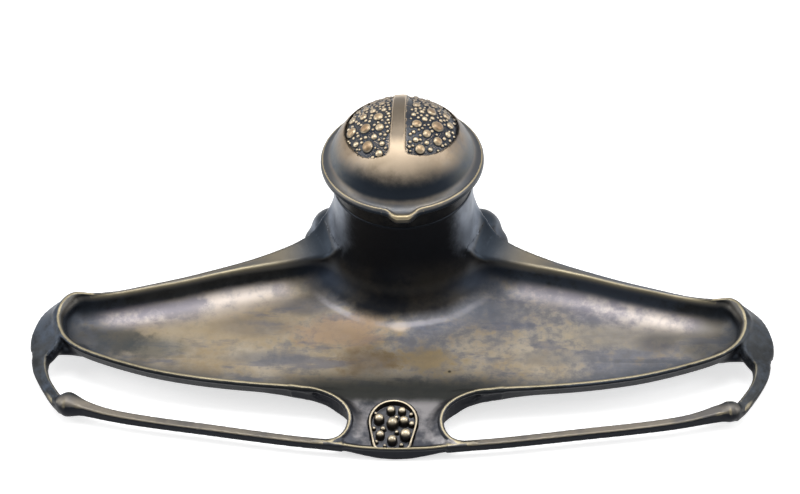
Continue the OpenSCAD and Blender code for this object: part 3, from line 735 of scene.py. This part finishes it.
def paint_neck(skin):
    """Nearly black in front and paler at the sides, as painted reflections, on a web that turns
    brown.
    """
    shelf = read["facing"].step(0.4, 0.7) * read["z"].step(17, 21) * out.step(31.5, 34)
    skin = (shelf * (1 - out.step(56, 72))).colour(skin, (out + drift * 3).step(38, 62).colour(
        tone(50, 57, 66), tone(104, 97, 84)))
    # painted reflection: paler blue-grey on the neck's sides
    painted_flank = read["patch"].step(0.35, 0.65).colour(tone(118, 125, 136), tone(88, 94, 104))
    painted_flank = (read["front"] + wobble * 0.5).step(-0.5, -0.05).colour(skin, painted_flank)
    toe = 1 - read["z"].step(14, 36)
    # painted dark reflection: near black on the neck's front, browner near its toe
    black = (read["patch"].step(0.4, 0.65) * toe).colour(tone(20, 22, 27), tone(54, 50, 44))
    front = (read["front"] + toe * 0.35 + wobble * 0.3).step(0.5, 0.78)
    neck = (1 - (out + drift * 3).step(40.5, 47)) * (read["z"] + wobble).step(9.2, 10.2)
    skin = (neck * (1 - shelf)).colour(skin, front.colour(painted_flank, black))
    return (read["z"].step(50.8, 51.5) * 0.8).colour(skin, tone(16, 20, 26))


def paint_casting(skin):
    """The marks of floor, bridge and neck, and the painted shade and highlight where they meet.
    """
    skin = paint_neck(paint_bridge(paint_floor(skin)))
    # painted shade in the corners where neck, floor and back wall meet
    corner = (1 - (out + drift * 3).step(45, 58)) * (1 - (ahead + drift * 3).step(24, 38))
    corner = corner * (1 - read["z"].step(16, 22)) * inside
    skin = (corner * 0.85).colour(skin, tone(32, 40, 52))
    # a thin painted highlight where the neck's toe meets the floor
    toe = 1 - (out - 46.6 + drift * 1.5).math("ABSOLUTE").step(0.4, 2)
    toe = toe * low * ahead.step(24, 38) * (1 - read["x"].step(4, 34) * 0.6)
    return (toe * read["patch"].step(0.3, 0.6) * 0.55).colour(skin, tone(178, 176, 182))


# inside the pan, faces that lie flat take the lit skin as painted light; all other faces take the
# shaded one
tray_finish = finish(
    wear_and_highlight=(crest_wear_and_highlight + knob * 0.8).math("MINIMUM", 1) * (1 - read["z"].step(42, 48)),
    shine=((122, 114, 94), (174, 163, 136)), hollow=(-0.25, 0.4),
    flat=(read["facing"] + (read["grain"] - 0.5) * 0.2).step(0.42, 0.82) * inside,
    touch=paint_casting, dull=low * 0.14)
casting = cast("casting", casting_form, (-161, -119, -1), (161, 38, 54),
               step=0.8, faces=194000, marked=casting_marks)
casting.data.materials.append(tray_finish)
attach(casting, "root")
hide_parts("pen_tray", "left_arm", "right_arm", "left_rail", "right_rail",
            "front_bridge", "well_neck", "left_rear_scroll", "right_rear_scroll")

# --- Berries --------------------------------------------------------------
# A chased inset soldered into the niche of the bridge: a raised border round a
# sunk bed with a cluster of berries, worn and bright with a painted highlight on top.
# x, y from the middle of the arch, radius
BERRIES = [
    (-0.2, -1.3, 2.6), (-5.9, 1, 2.3), (4.5, 0.1, 2.2), (-1.2, 5.8, 2), (3.5, 5.6, 1.8),
    (-5.1, -7.2, 2), (5.5, -7.3, 2.6), (0, -10, 2.2), (-4.1, -3.7, 1.3), (7.8, -1, 1.4),
    (-6.6, -10.3, 0.9), (-7.6, 4.6, 0.9), (7.4, 4.2, 1), (3.9, -11.9, 1), (7.9, -10.4, 0.9),
    (-8, -3.2, 0.9), (1.2, 2.6, 1), (-3, -12.2, 0.8), (1.7, -5.2, 1)]


def berry_form(p):
    """The inset: a sunk bed, its border and the berries."""
    z = p[:, 2] - bridge_bed(p[:, 1])
    bed = meet(niche(p, 0), z + NICHE_DEPTH + 0.3, 0.3)
    # the border is proud round the arch and sinks away at its open foot
    tall = np.column_stack([p[:, 0], p[:, 1], np.full(len(p), 50.0)])
    sink = 1.6 * (1 - ramp(NICHE_FOOT, NICHE_FOOT + 4, p[:, 1]))
    edge = np.hypot(niche(tall, 0) + 0.55, np.maximum(np.abs(z + 0.9 + sink) - 1.1, 0)) - 0.5
    fruit = np.full(len(p), 9.0)
    for x, y, r in BERRIES:
        ball = np.sqrt((p[:, 0] - NICHE_X - x) ** 2 + (p[:, 1] - NICHE_Y - y) ** 2
                       + ((z + NICHE_DEPTH - 0.5 * r) * 0.85) ** 2) - r
        fruit = join(fruit, ball, 0.25)
    return join(join(bed, edge, 0.4), fruit, 0.4)


berries = cast("berries", berry_form, (-13, -118, 2), (13, -88, 14),
               step=0.4, faces=60000, reach=0.35)
read, finish = patina("bronze_rubbed", ((96, 98, 104), (80, 78, 78), (76, 82, 94)),
                      ((64, 58, 52), (48, 44, 42), (46, 50, 58)), 0.33)
proud = (read["worn"] + (read["grain"] - 0.5) * 0.2).step(0.3, 0.6)
# the berries' tops are bright: wear and a painted highlight
berries.data.materials.append(finish(
    wear_and_highlight=proud * read["facing"].step(0.4, 0.85) * (0.6 + read["patch"].step(0.4, 0.6) * 0.4),
    shine=((200, 184, 154), (234, 220, 194)), hollow=(-2, -1.5)))
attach(berries, "root")
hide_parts("berry_inset")

# --- Lid ------------------------------------------------------------------
# A separate bronze casting: a hollow dome on a dished brim with a thumb tab in
# front, and two sunk panels beside a smooth band. It swings on the hinge behind.
BRIM_Z, BRIM_R = 63, 35
DOME_R, DOME_Z = 32.3, 58.5
TAB_TURN = math.radians(2.6)
# Middle and radius of the left and the right panel's outline; the band's middle
PANELS = ((-0.4, 1.2, 23.7), (1.5, 2.6, 22.8))
BAND_X, PANEL_FRONT = -0.85, -19.4
PANEL_BED = DOME_R - 1.3


def panel(p):
    """Distance from the outline of the nearer panel, seen from above."""
    x, y = p[:, 0], p[:, 1]
    disc = np.where(x < BAND_X, *(np.hypot(x - cx, y - cy) - r for cx, cy, r in PANELS))
    band = 2.9 + 0.05 * np.maximum(-4 - y, 0) - np.abs(x - BAND_X)
    return meet(meet(disc, band, 2.5), PANEL_FRONT - y, 3)


def lid_form(p):
    """The lid: dome, cove and brim with its tab, hollow inside, with two sunk panels."""
    x, y, z = p.T
    out = np.hypot(x, y)
    ball = np.sqrt(out ** 2 + (z - DOME_Z) ** 2)
    # the thumb tab is a soft wave in the brim, and hangs a little below it
    tab_x = x * math.cos(TAB_TURN) + y * math.sin(TAB_TURN)
    tab_y = y * math.cos(TAB_TURN) - x * math.sin(TAB_TURN)
    swell = 0.5 + 0.5 * np.cos(np.clip((np.abs(tab_x) - 1.8) / 7.4, 0, 1) * math.pi)
    tab = np.maximum(0.75 * (-BRIM_R + 1.6 - 5.3 * swell - tab_y), np.abs(tab_x) - 8.5)
    tab = np.maximum(tab, tab_y)
    plan = join(out - BRIM_R, tab, 1.2)
    top = BRIM_Z + 2.3 + 0.5 * np.exp(-((plan + 1) / 0.7) ** 2)
    under = BRIM_Z - 1.1 * swell * ramp(-4, -0.5, -tab_y - BRIM_R) - z
    brim = meet(meet(z - top, plan, 1.0), under, 0.8)
    dome = meet(ball - DOME_R, BRIM_Z + 0.5 - z, 0.3)
    shell = join(brim, dome, 4.5)
    shell = meet(shell, DOME_R - 3.4 - ball, 0.4)
    sunk = np.maximum(panel(p), np.maximum(PANEL_BED - ball, 66 - z))
    return meet(shell, -sunk, 0.7)


lid = cast("lid", lid_form, (-36.5, -40, 61), (36.5, 36.5, 92), step=0.6, faces=120000)
read, finish = patina("bronze_lid", ((204, 186, 164), (184, 164, 136), (162, 154, 148)),
                      ((96, 98, 98), (84, 84, 80), (76, 84, 94)), 0.36)
wobble = (read["grain"] - 0.5) * 0.2
# tan where the dome faces up, painted light; browner at the crown; blue-black low
# in front, a painted dark reflection; and slate grey in the cove and on the brim
wave = wobble * 0.5 + (read["patch"] - 0.5) * 0.08
dome = (read["facing"] + wave).step(0.4, 0.76)
shade = (read["front"] + wave).step(0.25, 0.75) * (1 - (read["facing"] + wave).step(0.42, 0.68))
crown = (read["facing"] + wobble * 0.1).step(0.85, 0.94)
tip = (1 - read["x"].math("ABSOLUTE").step(3, 7)) * (-1 * read["y"]).step(35, 37.6)
rim = ((read["worn"] + wobble * 1.5).step(0.6, 1.1) * 0.8 + tip * 0.8).math("MINIMUM", 1)


def paint_lid(skin):
    """A painted highlight in the middle in front, painted shade on the greyer flanks, a brown
    crown and a slate cove.
    """
    brown = (read["patch"] + wobble).step(0.5, 0.66) * read["facing"].step(0.4, 0.6)
    skin = (brown * 0.35).colour(skin, tone(132, 112, 86))
    # painted shade: greyer flanks of the dome
    painted_flank = (read["x"].math("ABSOLUTE") + wave * 60).step(9, 25) * dome
    skin = (painted_flank * 0.8).colour(skin, read["patch"].step(0.4, 0.6).colour(
        tone(80, 84, 92), tone(112, 96, 76)))
    # painted highlight: a bright middle in front
    painted_front_highlight = (1 - (read["x"] + 1).math("ABSOLUTE").step(3, 17)) * dome
    skin = (painted_front_highlight * read["front"].step(0.42, 0.62) * 0.6).colour(skin, tone(236, 214, 186))
    skin = (crown * 0.85).colour(skin, tone(92, 84, 74))
    # painted dark reflection: blue-black low in front
    skin = shade.colour(skin, tone(34, 41, 50))
    ring = read["patch"].step(0.35, 0.65).colour(tone(96, 98, 102), tone(134, 127, 116))
    ring = read["x"].math("ABSOLUTE").step(16, 33).colour(ring, tone(78, 80, 84))
    cove = (1 - read["z"].step(66.5, 69.5)) * read["facing"].step(0.1, 0.6)
    return cove.colour(skin, ring)


lid.data.materials.append(finish(
    wear_and_highlight=rim * (1 - read["z"].step(66.5, 69)), shine=((156, 144, 118), (206, 188, 150)),
    hollow=(-0.3, 0.25), flat=dome, touch=paint_lid))
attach(lid, "lid")
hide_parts("lid_shell")

# --- Pebble insets --------------------------------------------------------
# Each sunk panel of the lid is paved with flat pebbles of mixed sizes; their
# tops are rubbed bright and the gaps are black. x, y, radius
PEBBLES_RIGHT = [
    (7, -4.8, 2.1), (15.6, -3, 2.8), (11.3, -8.5, 1.9), (15.9, -10.1, 2.1), (8.7, -15.8, 2.2),
    (6.8, -12.4, 1.3), (5.8, -9.1, 0.9), (11.4, -12.5, 1.1), (12.9, -14.7, 1.1),
    (12.8, 5.2, 2.3), (10.2, -1.1, 1.3), (6.4, 8, 1.8), (5.5, 0.3, 1.1), (18.9, 7.2, 1.9),
    (20.7, 1.8, 1.9), (19.9, -4.4, 1.5), (8.9, 3.3, 1.1), (8.6, 14.6, 1.9), (13.6, 11.9, 1.8),
    (13.3, 0.9, 1), (18.5, -7.4, 0.9), (10.4, 10.1, 1.2), (16, 15.3, 1.4), (5.4, 12.8, 1.1),
    (5.6, 18.9, 1.5), (10.8, 18.7, 1.4), (22.2, 5.6, 0.9), (8.7, -12, 0.7), (13.4, -6.5, 0.8),
    (15.7, 8.4, 0.8), (12.6, 15.8, 0.9), (6.2, 4.6, 0.8), (16.8, 1.6, 0.9), (18.2, 11.4, 1.2),
    (14.6, 19.5, 1), (6.4, 22.6, 1.1), (17.8, -10.9, 0.8), (21.9, -1.4, 0.8)]
PEBBLES_LEFT = [
    (-20.9, -3, 2.6), (-14.7, -4.8, 2.5), (-13.5, -13.6, 2.6), (-8.6, -6.4, 1.9),
    (-9.4, -0.2, 2.2), (-7.3, -14, 1.2), (-10.8, -10.3, 1.4), (-8.5, -17.5, 1.7),
    (-18.6, -10.2, 1.4), (-16, 3.3, 1.9), (-11.9, 5, 1.5), (-20.8, 5, 1.8), (-7.2, 4, 1.2),
    (-15.2, 9.2, 1.6), (-8.3, 10.2, 1.6), (-5.1, 0.7, 0.9), (-6.1, -10.5, 0.8),
    (-14.5, -9.2, 0.9), (-17.9, 0.2, 0.9), (-11.2, -18.2, 0.9), (-6.6, 16.4, 1.6),
    (-12.2, 14.4, 1.5), (-18.6, 10.9, 1.3), (-11.5, 19.2, 1.3), (-5.4, 7.4, 0.8),
    (-5.1, -3.2, 0.8), (-12.4, 2, 0.8), (-19, 2.4, 0.8), (-5.5, 13, 0.9), (-17.8, -6.8, 0.8),
    (-13.1, -1.4, 0.7), (-5.3, 20.6, 1), (-16.2, 14.6, 1.1), (-15.8, 18, 0.9), (-8.2, 22.6, 1),
    (-22.4, 0.6, 0.8), (-9.1, 7.4, 0.7)]


def pebble_form(pebbles):
    """One paved panel: a thin curved bed with flattened stones on it."""
    rng = np.random.default_rng(7)
    stones = []
    # small stones fill the gaps between the large ones
    pebbles = list(pebbles)
    side = np.sign(pebbles[0][0])
    for _ in range(1500):
        x, y, r = side * rng.uniform(4, 22.5), rng.uniform(-18, 24), rng.uniform(0.55, 0.8)
        if panel(np.array([[x, y, 0]]))[0] < -r and all(
                math.hypot(x - a, y - b) > r + c + 0.15 for a, b, c in pebbles):
            pebbles.append((x, y, r))
    for x, y, r in pebbles:
        away = np.array((x, y, math.sqrt((PANEL_BED + 0.1) ** 2 - x * x - y * y)))
        up = away / np.linalg.norm(away)
        turn = rng.uniform(0, math.pi)
        long = np.cross(up, (math.cos(turn), math.sin(turn), 0))
        long /= np.linalg.norm(long)
        stretch = rng.uniform(1.0, 1.07)
        stones.append((away + (0, 0, DOME_Z), np.array((long, np.cross(up, long), up)),
                       np.array((r * stretch, r / stretch, 0.5 * r + 0.3))))

    def form(p):
        ball = np.sqrt(p[:, 0] ** 2 + p[:, 1] ** 2 + (p[:, 2] - DOME_Z) ** 2)
        bed = np.maximum(np.maximum(ball - PANEL_BED, PANEL_BED - 0.8 - ball), panel(p) - 0.2)
        bed = np.maximum(bed, -p[:, 0] * side)
        for centre, axes, size in stones:
            local = (p - centre) @ axes.T
            k0 = np.linalg.norm(local / size, axis=1)
            k1 = np.linalg.norm(local / size ** 2, axis=1)
            bed = join(bed, k0 * (k0 - 1) / np.maximum(k1, 1e-6), 0.3)
        return np.maximum(bed, PANEL_BED - 0.8 - ball)
    return form


def above_bed(p):
    """How far each point stands above the panel's bed."""
    ball = np.sqrt(p[:, 0] ** 2 + p[:, 1] ** 2 + (p[:, 2] - DOME_Z) ** 2)
    return {"inner": ball - PANEL_BED}


# brown tops with cream rims, in a blue-black bed
read, finish = patina("bronze_stones", ((176, 154, 124), (140, 114, 88), (134, 126, 118)),
                      ((52, 54, 58), (44, 46, 50), (48, 54, 66)), 0.32, (0.2, 0.6))
bed = 1 - (read["inner"] + (read["grain"] - 0.5) * 0.3).step(0.12, 0.5)
behind = read["y"].step(-2, 14) * 0.65
stone_finish = finish(
    wear_and_highlight=(read["worn"] + (read["grain"] - 0.5) * 0.3).step(0.55, 1.0) * (1 - bed) * (0.8 - behind),
    shine=((196, 178, 148), (232, 218, 190)), hollow=(-0.2, 0.3),
    touch=lambda skin: bed.colour(
        behind.colour(skin, tone(74, 80, 90)),
        read["patch"].step(0.4, 0.6).colour(tone(40, 48, 62), tone(66, 70, 76))))
for side, pebbles in (("left", PEBBLES_LEFT), ("right", PEBBLES_RIGHT)):
    edges = (-26, -1) if side == "left" else (1, 26)
    inset = cast(side + "_pebbles", pebble_form(pebbles), (edges[0], -22, 72),
                 (edges[1], 27, 92), step=0.4, faces=60000, reach=0.35, marked=above_bed)
    inset.data.materials.append(stone_finish)
    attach(inset, "lid")
    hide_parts(side + "_pebble_inset")


# --- Collar and hinge -----------------------------------------------------
# A turned bronze collar is pressed into the neck; the brim rests on it, and the
# knuckles of the hinge stand out of it behind.
def dress(node, material):
    """Gives a CAD node's object its finish."""
    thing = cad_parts[node]
    thing.data.materials.clear()
    thing.data.materials.append(material)


def plain_bronze(name, dark, light):
    """Turned or filed bronze with an even dark patina and faint cloudiness."""
    material, flow, shader = begin(name)
    place = flow.node("TexCoord", output=3)
    patch = noise(flow, place, 14, 4, 0.6)
    grain = noise(flow, place, 2, 4, 0.6)
    skin = (patch * 0.6 + grain * 0.4).step(0.35, 0.65).colour(tone(*dark), tone(*light))
    bump = flow.node("Bump", None, {"Strength": 0.2, "Distance": 0.0001, "Height": grain})
    feed(shader, Base_Color=skin, Metallic=0.85, Roughness=0.3 + 0.2 * grain, Normal=bump)
    return material


collar_finish = plain_bronze("bronze_collar", (17, 20, 26), (38, 38, 38))
for node in ("mouth_ring", "hinge_bracket", "lid_hinge_leaf"):
    dress(node, collar_finish)
dress("hinge_pin", plain_bronze("brass_pin", (150, 122, 70), (178, 148, 92)))

# --- Base -----------------------------------------------------------------
# A brass plate closes the neck from below. Three screws hold it, and felt is
# glued under it and under the lip.
dress("base_plate", plain_bronze("plate_brass", (96, 84, 56), (120, 104, 70)))
dress("base_plate_screws", plain_bronze("screw_brass", (130, 110, 66), (160, 136, 86)))
felt, flow, shader = begin("felt")
place = flow.node("TexCoord", output=3)
fibre = noise(flow, place, 0.5, 4, 0.7)
feed(shader, Base_Color=fibre.colour(tone(30, 44, 32), tone(52, 66, 50)), Roughness=0.95,
     Normal=flow.node("Bump", None, {"Strength": 0.6, "Distance": 0.0003, "Height": fibre}))
dress("felt_pads", felt)

# --- Ink pot --------------------------------------------------------------
# A moulded glass pot stands on a cork disc inside the neck and lifts out.
cork, flow, shader = begin("cork")
place = flow.node("TexCoord", output=3)
crumb = flow.node("TexVoronoi", None, {"Vector": place, "Scale": 700})
feed(shader, Base_Color=crumb.step(0.1, 0.7).colour(tone(112, 76, 46), tone(170, 130, 88)),
     Roughness=0.9,
     Normal=flow.node("Bump", None, {"Strength": 0.5, "Distance": 0.0004, "Height": crumb}))
dress("pot_cushion", cork)
glass, flow, shader = begin("glass")
place = flow.node("TexCoord", output=3)
swirl = noise(flow, place, 9, 2, 0.5)
feed(shader, Base_Color=swirl.colour(tone(214, 228, 222), tone(232, 240, 236)),
     Roughness=0.04, Transmission_Weight=0.95, IOR=1.5,
     Normal=flow.node("Bump", None, {"Strength": 0.15, "Distance": 0.0004, "Height": swirl}))
dress("ink_pot", glass)

# --- Table and light ------------------------------------------------------
# A white table, one large soft light overhead and two at the sides.
def visible(flow):
    """1 for rays that show something, plainly, mirrored or through glass, and 1 for
    the mirrored ones alone."""
    plain, mirrored, through = [flow.node("LightPath", output=k) for k in (
        "Is Camera Ray", "Is Glossy Ray", "Is Transmission Ray")]
    return (plain + mirrored + through).math("MINIMUM", 1), mirrored


floor = bpy.data.meshes.new("table")
floor.from_pydata([(-6, -6, 0), (6, -6, 0), (6, 6, 0), (-6, 6, 0)], [], [(0, 1, 2, 3)])
table = bpy.data.objects.new("table", floor)
table.location.z = min(cad_box[0][2], 0) - 0.0002
bpy.context.collection.objects.link(table)
white, flow, shader = begin("table_white")
seen, _ = visible(flow)
feed(shader, Base_Color=(0.86, 0.86, 0.86, 1), Roughness=0.9, Specular_IOR_Level=0.1)
backdrop = flow.node("Emission", None, {"Color": (1, 1, 1, 1), "Strength": 0.62})
nothing = flow.node("Emission", None, {"Strength": 0.0})
shown = flow.node("MixShader", None, {0: seen, 1: nothing, 2: backdrop})
both = flow.node("AddShader", None, {0: Flow(flow.tree, shader.outputs[0]), 1: shown})
flow.tree.links.new(both.socket, flow.tree.nodes["Material Output"].inputs["Surface"])
floor.materials.append(white)


def softbox(name, place, size, power, aim=(0, -0.05, 0.03)):
    """A rectangular lamp that points at the middle of the inkstand."""
    light = bpy.data.lights.new(name, "AREA")
    light.shape, light.size, light.size_y, light.energy = "RECTANGLE", *size, power
    lamp = bpy.data.objects.new(name, light)
    bpy.context.collection.objects.link(lamp)
    lamp.location = place
    lamp.rotation_euler = (Vector(aim) - lamp.location).to_track_quat("-Z", "Y").to_euler()


softbox("overhead", (0, 0.1, 1.4), (1.0, 0.6), 9)
softbox("left", (-1.2, -0.1, 0.7), (0.5, 0.9), 5)
softbox("right", (1.2, -0.1, 0.7), (0.5, 0.9), 5)

# an evenly white room all round
world = bpy.data.worlds.new("studio")
bpy.context.scene.world = world
world.use_nodes = True
flow = Flow(world.node_tree)
seen, mirrored = visible(flow)
sky = world.node_tree.nodes["Background"]
sky.inputs["Color"].default_value = (1, 1, 1, 1)
# the side of the room in front of the object is dim, as seen in the metal
toward = flow.node("TexCoord", output=0)
fore = 1 - flow.node("SeparateXYZ", None, {0: toward}, output=1).step(-0.35, 0.45)
level = 1 - flow.node("SeparateXYZ", None, {0: toward}, output=2).step(0.6, 0.9)
dim = fore * level * mirrored
world.node_tree.links.new(((seen * 0.55 + 0.45) * (1 - dim * 0.75)).socket,
                          sky.inputs["Strength"])

bpy.context.scene.view_settings.view_transform = "Standard"
